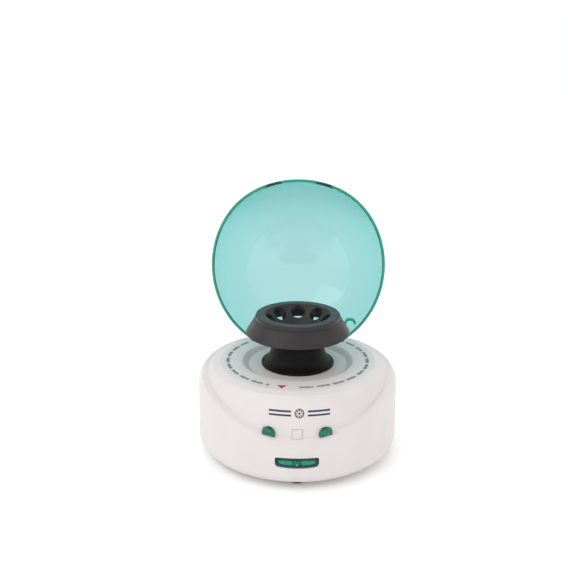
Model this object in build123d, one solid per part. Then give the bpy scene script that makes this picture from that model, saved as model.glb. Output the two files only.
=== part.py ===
from build123d import *
import math
import os

# Eight-place laboratory mini centrifuge with its domed lid open.
# Millimetres. +Z is up and the front, with its latch, faces -Y. The origin lies on the
# bench, under the axis that the rotor spins about.

# ---------------------------------------------------------------- driving dimensions
# casing
BODY_R = 77.8           # widest radius of the casing
BODY_BOTTOM_Z = 4.4     # lower edge of the casing above the bench
BOTTOM_R = 68.6
BELLY_Z = 12.5          # where the rounded bottom meets the side wall
SHOULDER_Z = 57.0       # where the side wall turns into the shoulder
SHOULDER_R = 76.4
DECK_Z = 71.5           # flat top of the casing
DECK_R = 59.5
WALL = 2.4
UNDER_LID_R = 73.7      # the wall above the lid seam is set back behind the lid
UNDER_LID_WALL = 1.6
RECESS_R = 42.5         # sloped recess around the rotor
RECESS_FLOOR_R = 38.0
RECESS_Z = 68.5
RECESS_HOLE_R = 18.6
EDGE_ROUND = 0.5        # rounding of the deck's edges
# lid seam: its height falls from the back to the front, ever faster
SEAM_FRONT_Y = -84.0
SEAM_BACK_Y = 84.0
SEAM_TOP_Z = 76.33
SEAM_DROP = 44.45
SEAM_BEND = 37.9
SEAM_FALL = 0.0499
SEAM_GAP = 0.3
# lid: a half ellipsoid on a short upright wall
LID_R = 77.3
LID_WALL_Z = 38.0
LID_TOP_Z = 121.0
LID_T = 1.9
LID_OPEN_DEG = 93.0     # how far the lid has turned from closed
# lid hinge
HINGE_Y = 60.0
HINGE_Z = 62.0
PIN_R = 1.5
RUNNING_GAP = 0.05
ARM_X0 = 29.5           # hinge arms of the lid
ARM_X1 = 39.5
ARM_NOSE_Y = 50.0
KNUCKLE_R = 4.5
EAR_X0 = 21.5           # ears of the hinge bracket
EAR_X1 = 28.5
BRACKET_T = 2.0
BRACKET_SCREWS_X = (-14.0, 14.0)
BRACKET_SCREW_Y = 58.6
# arched loop inside the lid, right of the hinge
LOOP_X0 = 39.8
LOOP_X1 = 50.4
LOOP_Y0 = 41.4
LOOP_Z = 73.4
LOOP_BAR = 2.2
LOOP_ROUND = 4.9
# hinge bay in the back of the casing
BAY_HALF = 42.5
BAY_FRONT_Y = 54.5
BAY_FLOOR_Z = 46.6
SLOT_FLOOR_Z = 56.5
BAY_WALL = 2.0
# latch, push button and interlock plunger in the front
CATCH_X0 = 15.6
CATCH_X1 = 24.2
CATCH_Z0 = 42.8
CATCH_Z1 = 49.2
CATCH_REACH_R = 75.9    # how far the catches stand out, from the rotor axis
BUTTON_HALF = 15.0
BUTTON_Z1 = 27.2
BUTTON_END_Z = 22.2
BUTTON_MID_Z = 20.0
BUTTON_CORNER = 1.4
PLUNGER_W = 7.0
PLUNGER_Z = 44.9
PLUNGER_STEM_HALF = 2.2
PLUNGER_GAP = 0.2
MOVING_GAP = 0.35
YOKE_FRONT_Y = -66.0
YOKE_BACK_Y = -63.8
YOKE_HALF = 25.0
FRAME_HALF = 28.0
FRAME_BACK_Y = -55.0
FRAME_T = 2.0
FRAME_SCREWS_X = (-18.0, 18.0)
FRAME_SCREW_Y = -46.0
FRAME_TOP_Z = 54.0
SPRING_X = 12.0
SPRING_Z = 33.5
# interlock switch
SWITCH_RIVETS_Z = (43.0, 53.0)
SWITCH_RIVET_Y = -46.0
LEVER_PIVOT_Y = -50.4
LEVER_PIVOT_Z = 53.2
# rotor
ROTOR_TOP_Z = 108.2
ROTOR_BOWL_R = 24.9
ROTOR_RING_R = 30.8
ROTOR_MAX_R = 39.3
ROTOR_MAX_Z = 94.3
ROTOR_EDGE_Z = 93.7
ROTOR_UNDER_Z = 91.3
WELL_COUNT = 8
WELL_R = 5.55
WELL_CENTRE_R = 20.0
WELL_TILT = 45.0
WELL_LENGTH = 6.0
BOWL_FLOOR_R = 10.0
HUB_R = 12.0
HUB_BOTTOM_Z = 88.4
ADAPTER_R = 5.0
STUD_R = 3.0
STUD_LENGTH = 3.2
NUT_R = 6.5
SHAFT_R = 1.6
# pedestal and motor
PEDESTAL_R = 28.0
PEDESTAL_TOP_Z = 87.4
MOTOR_R = 17.5
MOTOR_Z0 = 24.0
MOTOR_Z1 = 74.0
MOTOR_BOSS_H = 3.0
MAGNET_Z0 = 32.0
MAGNET_Z1 = 62.0
BUSH_R = 4.0
DAMPER_RING_R = 29.0
DAMPER_R = 4.5
DAMPER_NECK_R = 2.6
DAMPER_FLANGE = 1.8
MOUNT_PLATE_R = 35.0
MOUNT_PLATE_Z = 61.0
MOUNT_PLATE_T = 2.0
# base
PLATE_R = 66.5
PLATE_Z0 = 4.6
PLATE_Z1 = 7.0
PANEL_Z = 1.4           # raised panel in the middle of the underside
PANEL_R = 44.0
FOOT_R = 6.0
FOOT_RING_R = 60.0
FOOT_STEM_R = 2.0
POST_RING_R = 61.0
POST_R = 4.5
POST_TOP_Z = 30.0
SCREW_R = 1.5
HEAD_R = 2.8
HEAD_H = 2.0
# circuit board
BOARD_Z = 12.0
BOARD_T = 1.6
BOARD_HALF_X = 32.0
BOARD_Y0 = -26.0
BOARD_Y1 = 30.0
BOARD_HOLES_X = (-28.0, 28.0)
BOARD_HOLES_Y = (-22.0, 26.0)
BOARD_SCREW_R = 1.25
# power inlet and switch in the back wall
JACK_X = -18.0
JACK_Z = 20.0
JACK_NOSE_R = 5.0
JACK_BORE_R = 3.1
JACK_DEPTH = 9.5
SWITCH_X = 18.0
SWITCH_Z = 20.0
SWITCH_W = 14.0
SWITCH_H = 19.0
BEZEL_EDGE = 1.5
BEZEL_T = 1.8
ROCKER_W = 9.0
ROCKER_H = 13.0
ROCKER_PIVOT_Y = 69.0
ROCKER_DEG = 9.0

parts = {}


# ---------------------------------------------------------------- small helpers
def at(r, z):
    """A point of a turned profile: distance from the rotor axis, and height."""
    return (r, 0, z)


def turned(*edges):
    """The solid that a closed profile sweeps around the rotor axis."""
    return revolve(make_face(Wire(edges)), axis=Axis.Z)


def block(x0, x1, y0, y1, z0, z1):
    """An upright box between two corners."""
    return Pos((x0 + x1) / 2, (y0 + y1) / 2, (z0 + z1) / 2) * Box(x1 - x0, y1 - y0, z1 - z0)


def rod_z(x, y, z0, z1, r):
    """A round rod along Z."""
    return Pos(x, y, (z0 + z1) / 2) * Cylinder(r, z1 - z0)


def rod_x(x0, x1, y, z, r):
    """A round rod along X."""
    return Pos((x0 + x1) / 2, y, z) * Rot(0, 90, 0) * Cylinder(r, x1 - x0)


def rod_y(x, y0, y1, z, r):
    """A round rod along Y."""
    return Pos(x, (y0 + y1) / 2, z) * Rot(90, 0, 0) * Cylinder(r, y1 - y0)


def around(solid, angles):
    """Copies of a solid turned about the rotor axis, as a list."""
    return [Rot(0, 0, a) * solid for a in angles]


def side_shape(points, half_width):
    """A prism along X whose side view is a closed polygon of (y, z) points."""
    face = make_face(Polyline(*[(0, y, z) for y, z in points], close=True))
    return extrude(face, amount=half_width, dir=(1, 0, 0), both=True)


def save(name, shape):
    """Keep a node under its file name."""
    parts[name] = shape


def opened(shape):
    """Turn a lid piece from closed to its open rest position about the hinge pin."""
    moved = Pos(0, HINGE_Y, HINGE_Z) * Rot(-LID_OPEN_DEG, 0, 0) * Pos(0, -HINGE_Y, -HINGE_Z)
    return moved * shape


def seam_z(y):
    """Height of the lid seam at a given y."""
    back = y - SEAM_FRONT_Y
    return SEAM_TOP_Z - SEAM_DROP * math.exp(-back / SEAM_BEND) - SEAM_FALL * back


def seam_cutter(shift, keep_above):
    """The space above or below the lid seam, moved up or down by shift."""
    steps = 12
    span = SEAM_BACK_Y - SEAM_FRONT_Y
    seam_y = [SEAM_FRONT_Y + span * k / steps for k in range(steps + 1)]
    pts = [(0, y, seam_z(y) + shift) for y in seam_y]
    edge = Spline(*pts)
    far_z = 140 if keep_above else -20
    corners = [(0, SEAM_BACK_Y, far_z), (0, SEAM_FRONT_Y, far_z)]
    rest = Polyline(pts[-1], *corners, pts[0])
    return extrude(make_face(Wire([edge, *rest.edges()])), amount=90, dir=(1, 0, 0), both=True)


# ---------------------------------------------------------------- lid profile
def lid_solid(inset):
    """The dome as a full solid: a quarter ellipse over an upright wall, inset from outside."""
    r = LID_R - inset
    top = LID_TOP_Z - inset
    skirt_z = 30
    upright = Plane(origin=at(0, LID_WALL_Z), x_dir=(1, 0, 0), z_dir=(0, -1, 0))
    crown = Edge.make_ellipse(r, top - LID_WALL_Z, upright, start_angle=0, end_angle=90)
    return turned(
        Line(at(0, skirt_z), at(r, skirt_z)),
        Line(at(r, skirt_z), at(r, LID_WALL_Z)),
        crown,
        Line(at(0, top), at(0, skirt_z)),
    )


# ---------------------------------------------------------------- casing
def casing_below_seam():
    """The full-width casing: rounded bottom, side wall, shoulder and deck."""
    shoulder_end = at(66.0, 70.3)
    return turned(
        Line(at(0, BODY_BOTTOM_Z), at(BOTTOM_R, BODY_BOTTOM_Z)),
        ThreePointArc(at(BOTTOM_R, BODY_BOTTOM_Z), at(74.4, 7.0), at(BODY_R, BELLY_Z)),
        Line(at(BODY_R, BELLY_Z), at(SHOULDER_R, SHOULDER_Z)),
        ThreePointArc(at(SHOULDER_R, SHOULDER_Z), at(73.5, 65.4), shoulder_end),
        Line(shoulder_end, at(DECK_R, DECK_Z)),
        Line(at(DECK_R, DECK_Z), at(0, DECK_Z)),
        Line(at(0, DECK_Z), at(0, BODY_BOTTOM_Z)),
    )


def casing_under_lid():
    """The same casing set back behind the lid's wall."""
    shoulder_end = at(65.4, 70.1)
    return turned(
        Line(at(0, 30), at(UNDER_LID_R + 0.6, 30)),
        Line(at(UNDER_LID_R + 0.6, 30), at(UNDER_LID_R, 50)),
        Line(at(UNDER_LID_R, 50), at(UNDER_LID_R - 1.1, SHOULDER_Z)),
        ThreePointArc(at(UNDER_LID_R - 1.1, SHOULDER_Z), at(70.4, 64.4), shoulder_end),
        Line(shoulder_end, at(DECK_R, DECK_Z)),
        Line(at(DECK_R, DECK_Z), at(0, DECK_Z)),
        Line(at(0, DECK_Z), at(0, 30)),
    )


def casing_hollow():
    """The room inside the casing, one wall in from its outside."""
    lip = at(PLATE_R + 0.3, PLATE_Z1)
    belly = at(BODY_R - WALL, 14.5)
    under_seam = at(BODY_R - WALL - 0.3, 30.5)
    set_back = at(UNDER_LID_R - UNDER_LID_WALL, 34.5)
    shoulder = at(UNDER_LID_R - UNDER_LID_WALL - 1.1, SHOULDER_Z - 1)
    shoulder_end = at(63.5, 67.6)
    deck_end = at(58.5, DECK_Z - WALL)
    recess_top = at(RECESS_R + 1.5, DECK_Z - WALL)
    recess_floor = at(RECESS_FLOOR_R + 1.5, RECESS_Z - WALL)
    return turned(
        Line(at(0, 0), at(PLATE_R + 0.3, 0)),
        Line(at(PLATE_R + 0.3, 0), lip),
        Line(lip, belly),
        Line(belly, under_seam),
        Line(under_seam, set_back),
        Line(set_back, shoulder),
        ThreePointArc(shoulder, at(68.6, 62.6), shoulder_end),
        Line(shoulder_end, deck_end),
        Line(deck_end, recess_top),
        Line(recess_top, recess_floor),
        Line(recess_floor, at(0, RECESS_Z - WALL)),
        Line(at(0, RECESS_Z - WALL), at(0, 0)),
    )


def bay_cuts(grow):
    """The hinge bay and the two slots for the lid's arms, grown by a wall's thickness."""
    top = DECK_Z + 5
    cuts = [block(-BAY_HALF - grow, BAY_HALF + grow, BAY_FRONT_Y - grow, 90, BAY_FLOOR_Z - grow, top)]
    for side in (-1, 1):
        x0, x1 = sorted((side * (ARM_X0 - 0.6 - grow), side * (BAY_HALF + grow)))
        cuts.append(block(x0, x1, ARM_NOSE_Y - 0.7 - grow, 90, SLOT_FLOOR_Z - grow, top))
    return cuts


def post_angles():
    return [45, 135, 225, 315]


def button_window(grow, y0, y1):
    """The smiling outline of the release button, run through the wall along Y."""
    half = BUTTON_HALF + grow
    top = BUTTON_Z1 + grow
    corner = BUTTON_CORNER
    low_z = BUTTON_END_Z - corner - grow
    ease = corner * (1 - math.sqrt(0.5))
    outline = make_face(
        Wire(
            [
                Line((-half, y0, BUTTON_END_Z), (-half, y0, top - corner)),
                ThreePointArc(
                    (-half, y0, top - corner), (-half + ease, y0, top - ease), (-half + corner, y0, top)
                ),
                Line((-half + corner, y0, top), (half - corner, y0, top)),
                ThreePointArc(
                    (half - corner, y0, top), (half - ease, y0, top - ease), (half, y0, top - corner)
                ),
                Line((half, y0, top - corner), (half, y0, BUTTON_END_Z)),
                Line((half, y0, BUTTON_END_Z), (half - corner, y0, low_z)),
                ThreePointArc(
                    (half - corner, y0, low_z),
                    (0, y0, BUTTON_MID_Z - grow),
                    (-half + corner, y0, low_z),
                ),
                Line((-half + corner, y0, low_z), (-half, y0, BUTTON_END_Z)),
            ]
        )
    )
    return extrude(outline, amount=y1 - y0, dir=(0, 1, 0))


def catch_shape(side, grow, y0, y1):
    """A catch: flat below, domed above, run along Y."""
    x0 = CATCH_X0 - grow
    x1 = CATCH_X1 + grow
    z0 = CATCH_Z0 - grow
    z1 = CATCH_Z1 + grow
    spring_z = z0 + 2.6
    face = make_face(
        Wire(
            [
                Line((side * x0, y0, z0), (side * x1, y0, z0 + 1.2)),
                Line((side * x1, y0, z0 + 1.2), (side * x1, y0, spring_z + 0.6)),
                ThreePointArc(
                    (side * x1, y0, spring_z + 0.6),
                    (side * (x0 + x1) / 2, y0, z1),
                    (side * x0, y0, spring_z),
                ),
                Line((side * x0, y0, spring_z), (side * x0, y0, z0)),
            ]
        )
    )
    return extrude(face, amount=y1 - y0, dir=(0, 1, 0))


def housing_shell():
    """Upper casing: one moulding with the deck, the lid seam step and the hinge bay."""
    outside = casing_below_seam() & seam_cutter(-SEAM_GAP / 2, False)
    outside += casing_under_lid()
    shell = outside - casing_hollow()
    ease = EDGE_ROUND
    slope = (RECESS_R - RECESS_FLOOR_R) / (DECK_Z - RECESS_Z)
    recess = turned(
        Line(at(0, RECESS_Z), at(RECESS_FLOOR_R, RECESS_Z)),
        Line(at(RECESS_FLOOR_R, RECESS_Z), at(RECESS_R - slope * ease, DECK_Z - ease)),
        ThreePointArc(
            at(RECESS_R - slope * ease, DECK_Z - ease),
            at(RECESS_R - 0.1, DECK_Z - 0.14),
            at(RECESS_R + 2 * ease, DECK_Z),
        ),
        Line(at(RECESS_R + 2 * ease, DECK_Z), at(RECESS_R + 2 * ease, DECK_Z + 5)),
        Line(at(RECESS_R + 2 * ease, DECK_Z + 5), at(0, DECK_Z + 5)),
        Line(at(0, DECK_Z + 5), at(0, RECESS_Z)),
    )
    shell -= recess
    shell -= rod_z(0, 0, 60, 80, RECESS_HOLE_R)
    liner = outside & (Part() + bay_cuts(BAY_WALL))
    shell += liner
    shell -= Part() + bay_cuts(0)
    post = rod_z(POST_RING_R, 0, PLATE_Z1, POST_TOP_Z, POST_R)
    post += block(POST_RING_R, BODY_R - 1.0, -1.5, 1.5, 14, POST_TOP_Z)
    pilot = rod_z(POST_RING_R, 0, PLATE_Z1 - 1, PLATE_Z1 + 12, SCREW_R)
    for angle in post_angles():
        shell += Rot(0, 0, angle) * post
        shell -= Rot(0, 0, angle) * pilot
    for angle in damper_angles():
        shell -= Rot(0, 0, angle) * rod_z(DAMPER_RING_R, 0, 60, RECESS_Z - 0.7, SCREW_R)
    shell -= button_window(0.5, -90, -60)
    for side in (-1, 1):
        shell -= catch_shape(side, MOVING_GAP, -90, -60)
    half = PLUNGER_W / 2 + PLUNGER_GAP
    shell -= block(-half, half, -90, -60, PLUNGER_Z - half, PLUNGER_Z + half)
    shell -= rod_y(JACK_X, 60, 90, JACK_Z, JACK_NOSE_R)
    shell -= block(*rocker_opening(), 60, 90, *rocker_height())
    for x in BRACKET_SCREWS_X:
        shell -= rod_z(x, BRACKET_SCREW_Y, BAY_FLOOR_Z - 2 * BAY_WALL, BAY_FLOOR_Z + 1, SCREW_R)
    return shell


# ---------------------------------------------------------------- base
def foot_angles():
    return [-90, 30, 150]


def bottom_plate():
    """Base moulding: a disc in the casing's mouth, a lower middle panel and standoffs."""
    plate = rod_z(0, 0, PLATE_Z0, PLATE_Z1, PLATE_R)
    plate += rod_z(0, 0, PANEL_Z, PLATE_Z0, PANEL_R)
    for angle in post_angles():
        plate -= Rot(0, 0, angle) * rod_z(POST_RING_R, 0, 0, 10, SCREW_R + 0.1)
        plate -= Rot(0, 0, angle) * rod_z(POST_RING_R, 0, 0, PLATE_Z0 + 1.8, HEAD_R + 0.3)
    for angle in foot_angles():
        plate -= Rot(0, 0, angle) * rod_z(FOOT_RING_R, 0, 0, 10, FOOT_STEM_R)
    for x in BOARD_HOLES_X:
        for y in BOARD_HOLES_Y:
            plate += rod_z(x, y, PLATE_Z1, BOARD_Z, 3.0)
            plate -= rod_z(x, y, PLATE_Z1 - 1, BOARD_Z + 1, BOARD_SCREW_R)
    for x in FRAME_SCREWS_X:
        plate -= rod_z(x, FRAME_SCREW_Y, PLATE_Z1 - 2.2, PLATE_Z1 + 1, SCREW_R)
    return plate


def housing_screws():
    """Four screws from below, heads sunk in the base."""
    screw = rod_z(POST_RING_R, 0, PLATE_Z0 + 1.8, PLATE_Z1 + 11, SCREW_R)
    screw += rod_z(POST_RING_R, 0, PLATE_Z0 + 0.2, PLATE_Z0 + 1.8, HEAD_R)
    screw -= block(POST_RING_R - 0.4, POST_RING_R + 0.4, -2, 2, 0, PLATE_Z0 + 1.0)
    screw -= block(POST_RING_R - 2, POST_RING_R + 2, -0.4, 0.4, 0, PLATE_Z0 + 1.0)
    return Part() + around(screw, post_angles())


def rubber_feet():
    """Three rubber feet, each with a stem through the base."""
    foot = rod_z(FOOT_RING_R, 0, 0, PLATE_Z0, FOOT_R)
    foot = fillet(foot.edges().filter_by(GeomType.CIRCLE).sort_by(Axis.Z)[0], 0.8)
    foot += rod_z(FOOT_RING_R, 0, PLATE_Z0, PLATE_Z1, FOOT_STEM_R)
    foot += Pos(FOOT_RING_R, 0, PLATE_Z1 + 1.2) * Cone(3.0, 1.8, 2.4)
    return Part() + around(foot, foot_angles())


# ---------------------------------------------------------------- circuit board
def circuit_board():
    """Speed control board on four standoffs."""
    board = block(-BOARD_HALF_X, BOARD_HALF_X, BOARD_Y0, BOARD_Y1, BOARD_Z, BOARD_Z + BOARD_T)
    board = fillet(board.edges().filter_by(Axis.Z), 2.0)
    for x in BOARD_HOLES_X:
        for y in BOARD_HOLES_Y:
            board -= rod_z(x, y, BOARD_Z - 1, BOARD_Z + 3, BOARD_SCREW_R + 0.15)
    return board


def board_screws():
    """Four small screws that hold the board."""
    screws = []
    for x in BOARD_HOLES_X:
        for y in BOARD_HOLES_Y:
            shank = rod_z(x, y, BOARD_Z - 4, BOARD_Z + BOARD_T, BOARD_SCREW_R)
            screws.append(shank + rod_z(x, y, BOARD_Z + BOARD_T, BOARD_Z + BOARD_T + 1.4, 2.3))
    return Part() + screws


def board_components():
    """Capacitor, choke, plug sockets and power transistor, soldered to the board."""
    top = BOARD_Z + BOARD_T
    capacitor = rod_z(-19, 12, top, top + 8.4, 4.0)
    choke = rod_z(18, 14, top, top + 5, 5.5) - rod_z(18, 14, top + 1, top + 6, 2.4)
    sockets = [block(x - 4.0, x + 4.0, -23.5, -18.0, top, top + 6.0) for x in (-12.0, 0.0, 12.0)]
    transistor = block(-5, 5, 18, 22.5, top, top + 8.5)
    chip = block(-6, 6, -6, 2, top, top + 1.6)
    return Part() + [capacitor, choke, *sockets, transistor, chip]


# ---------------------------------------------------------------- power inlet and switch
def outer_y(x):
    """How far back the side wall is at a given x."""
    return math.sqrt(BODY_R**2 - x**2)


def dc_jack():
    """Low-voltage socket with its threaded nose through the back wall."""
    mouth_y = outer_y(JACK_X) + 0.4
    jack = rod_y(JACK_X, 60, mouth_y, JACK_Z, JACK_NOSE_R)
    jack += block(JACK_X - 6, JACK_X + 6, 52, 66, JACK_Z - 6, JACK_Z + 6)
    jack -= rod_y(JACK_X, mouth_y - JACK_DEPTH, mouth_y + 5, JACK_Z, JACK_BORE_R)
    return jack


def jack_contact():
    """Centre contact of the socket."""
    mouth_y = outer_y(JACK_X) + 0.4
    return rod_y(JACK_X, mouth_y - JACK_DEPTH, mouth_y - 1.5, JACK_Z, 1.0)


def rocker_opening():
    half = SWITCH_W / 2 - BEZEL_EDGE
    return (SWITCH_X - half, SWITCH_X + half)


def rocker_height():
    half = SWITCH_H / 2 - BEZEL_EDGE
    return (SWITCH_Z - half, SWITCH_Z + half)


def power_switch_body():
    """Snap-in switch body with its bezel against the back wall."""
    x0, x1 = rocker_opening()
    z0, z1 = rocker_height()
    bezel_y = outer_y(SWITCH_X - SWITCH_W / 2)
    barrel = block(x0, x1, 58, bezel_y, z0, z1)
    bezel = block(
        SWITCH_X - SWITCH_W / 2, SWITCH_X + SWITCH_W / 2, bezel_y, bezel_y + BEZEL_T,
        SWITCH_Z - SWITCH_H / 2, SWITCH_Z + SWITCH_H / 2,
    )
    bezel = fillet(bezel.edges().filter_by(Axis.Y), BEZEL_EDGE)
    well = block(
        SWITCH_X - ROCKER_W / 2 - 0.3, SWITCH_X + ROCKER_W / 2 + 0.3, 63.5, 90,
        SWITCH_Z - ROCKER_H / 2 - 0.5, SWITCH_Z + ROCKER_H / 2 + 0.5,
    )
    body = barrel + bezel - well
    body -= rod_x(x0 + 0.4, x1 - 0.4, ROCKER_PIVOT_Y, SWITCH_Z, 1.0 + RUNNING_GAP)
    return body


def power_rocker():
    """Rocker with two sloping halves, standing in its off position."""
    front_y = outer_y(SWITCH_X - SWITCH_W / 2) + 2.2
    half = ROCKER_H / 2 - 0.3
    tip = math.tan(math.radians(ROCKER_DEG)) * half
    pts = [
        (ROCKER_PIVOT_Y - 2.2, SWITCH_Z - 3.0),
        (ROCKER_PIVOT_Y + 1.5, SWITCH_Z - half + 0.6),
        (front_y + tip, SWITCH_Z - half),
        (front_y, SWITCH_Z),
        (front_y + tip, SWITCH_Z + half),
        (ROCKER_PIVOT_Y + 1.5, SWITCH_Z + half - 0.6),
        (ROCKER_PIVOT_Y - 2.2, SWITCH_Z + 3.0),
    ]
    rocker = Pos(SWITCH_X, 0, 0) * side_shape(pts, ROCKER_W / 2)
    rocker += rod_x(SWITCH_X - ROCKER_W / 2 - 0.5, SWITCH_X + ROCKER_W / 2 + 0.5, ROCKER_PIVOT_Y, SWITCH_Z, 1.0)
    turn = Pos(0, ROCKER_PIVOT_Y, SWITCH_Z) * Rot(-ROCKER_DEG / 2, 0, 0) * Pos(0, -ROCKER_PIVOT_Y, -SWITCH_Z)
    return turn * rocker


# ---------------------------------------------------------------- motor and pedestal
def damper_angles():
    return [0, 90, 180, 270]


def motor_pedestal():
    """Black waisted cover over the motor's nose, standing in the recess of the deck."""
    waist = at(20.6, 80.5)
    cover = turned(
        Line(at(0, RECESS_Z), at(PEDESTAL_R - 0.4, RECESS_Z)),
        ThreePointArc(at(PEDESTAL_R - 0.4, RECESS_Z), at(PEDESTAL_R, 69.4), at(PEDESTAL_R - 0.3, 70.4)),
        ThreePointArc(at(PEDESTAL_R - 0.3, 70.4), at(22.9, 74.4), waist),
        ThreePointArc(waist, at(20.1, 84.0), at(20.6, PEDESTAL_TOP_Z)),
        Line(at(20.6, PEDESTAL_TOP_Z), at(0, PEDESTAL_TOP_Z)),
        Line(at(0, PEDESTAL_TOP_Z), at(0, RECESS_Z)),
    )
    cover -= rod_z(0, 0, RECESS_Z - 1, 80, MOTOR_R + 0.7)
    cover -= rod_z(0, 0, 79, 90, ADAPTER_R + 1.5)
    return cover


def motor_can():
    """Steel can of the motor, open where the shaft and the bearings are."""
    can = rod_z(0, 0, MOTOR_Z0, MOTOR_Z1, MOTOR_R)
    can += rod_z(0, 0, MOTOR_Z1, MOTOR_Z1 + MOTOR_BOSS_H, 6.5)
    can -= rod_z(0, 0, MOTOR_Z0 + 2, MOTOR_Z1 - 2, MOTOR_R - 1.5)
    can -= rod_z(0, 0, MOTOR_Z1 - 3, MOTOR_Z1 + 4, BUSH_R)
    can -= rod_z(0, 0, MOTOR_Z0 - 1, MOTOR_Z0 + 3, BUSH_R)
    return can


def motor_magnets():
    """Two arc magnets inside the can."""
    ring = rod_z(0, 0, MAGNET_Z0, MAGNET_Z1, MOTOR_R - 1.5)
    ring -= rod_z(0, 0, MAGNET_Z0 - 1, MAGNET_Z1 + 1, MOTOR_R - 5.0)
    gap = block(-30, 30, -4, 4, 20, 80)
    return ring - gap


def bearing(z0, z1):
    """A plain bush for the motor's shaft."""
    return rod_z(0, 0, z0, z1, BUSH_R) - rod_z(0, 0, z0 - 1, z1 + 1, SHAFT_R + RUNNING_GAP)


def motor_armature():
    """Wound armature with its three poles and the commutator."""
    poles = rod_z(0, 0, MAGNET_Z0 + 1, MAGNET_Z1 - 1, 11.6)
    slot = block(5.5, 14, -1.6, 1.6, 30, 65)
    poles -= Part() + around(slot, [30, 150, 270])
    poles += rod_z(0, 0, MAGNET_Z1 - 1, MAGNET_Z1 + 4, 5.0)
    poles += rod_z(0, 0, MAGNET_Z0 - 3, MAGNET_Z0 + 1, 4.0)
    poles -= rod_z(0, 0, 20, 70, SHAFT_R)
    return poles


def motor_mount():
    """Steel plate that hangs the motor under the deck on four rubber dampers."""
    plate = rod_z(0, 0, MOUNT_PLATE_Z, MOUNT_PLATE_Z + MOUNT_PLATE_T, MOUNT_PLATE_R)
    plate -= rod_z(0, 0, 50, 70, MOTOR_R)
    for angle in damper_angles():
        plate -= Rot(0, 0, angle) * rod_z(DAMPER_RING_R, 0, 50, 70, DAMPER_NECK_R)
    for angle in (45, 135, 225, 315):
        plate -= Rot(0, 0, angle) * rod_z(27.0, 0, 50, 70, 4.0)
    return plate


def motor_dampers():
    """Rubber grommets in the mounting plate."""
    plate_top = MOUNT_PLATE_Z + MOUNT_PLATE_T
    grommet = rod_z(DAMPER_RING_R, 0, plate_top, RECESS_Z - WALL, DAMPER_R)
    grommet += rod_z(DAMPER_RING_R, 0, MOUNT_PLATE_Z, plate_top, DAMPER_NECK_R)
    grommet += rod_z(DAMPER_RING_R, 0, MOUNT_PLATE_Z - DAMPER_FLANGE, MOUNT_PLATE_Z, DAMPER_R)
    grommet -= rod_z(DAMPER_RING_R, 0, 50, 70, SCREW_R)
    return Part() + around(grommet, damper_angles())


def motor_screws():
    """Four screws through the dampers into the deck."""
    head_z = MOUNT_PLATE_Z - DAMPER_FLANGE
    screw = rod_z(DAMPER_RING_R, 0, head_z, RECESS_Z - 0.8, SCREW_R)
    screw += rod_z(DAMPER_RING_R, 0, head_z - HEAD_H, head_z, HEAD_R)
    return Part() + around(screw, damper_angles())


# ---------------------------------------------------------------- rotor
def bowl_z(r):
    """Height of the bowl's conical face at a given radius."""
    return ROTOR_TOP_Z - (ROTOR_BOWL_R - r)


def motor_shaft():
    """Shaft from the motor's lower bush up into the rotor's adapter."""
    return rod_z(0, 0, MOTOR_Z0 - 1.5, bowl_z(BOWL_FLOOR_R) + 1.0, SHAFT_R)


def rotor_adapter():
    """Aluminium collet between the motor's shaft and the rotor, with a stud on top."""
    floor_z = bowl_z(BOWL_FLOOR_R)
    collet = rod_z(0, 0, 82.0, floor_z, ADAPTER_R)
    collet += rod_z(0, 0, floor_z, floor_z + STUD_LENGTH, STUD_R)
    collet += rod_z(0, 0, HUB_BOTTOM_Z - 1.8, HUB_BOTTOM_Z, ADAPTER_R + 1.2)
    return collet - rod_z(0, 0, 80, floor_z + 1.0, SHAFT_R)


def rotor_nut():
    """Knurled cap nut that clamps the rotor on its adapter."""
    floor_z = bowl_z(BOWL_FLOOR_R)
    nut = rod_z(0, 0, floor_z, floor_z + STUD_LENGTH + 0.7, NUT_R)
    nut -= rod_z(0, 0, floor_z - 1, floor_z + STUD_LENGTH, STUD_R)
    nut = chamfer(nut.edges().filter_by(GeomType.CIRCLE).sort_by(Axis.Z)[-1], 0.8)
    flute = rod_z(NUT_R + 0.4, 0, floor_z - 1, floor_z + 10, 0.8)
    return nut - (Part() + around(flute, [k * 30 for k in range(12)]))


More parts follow.
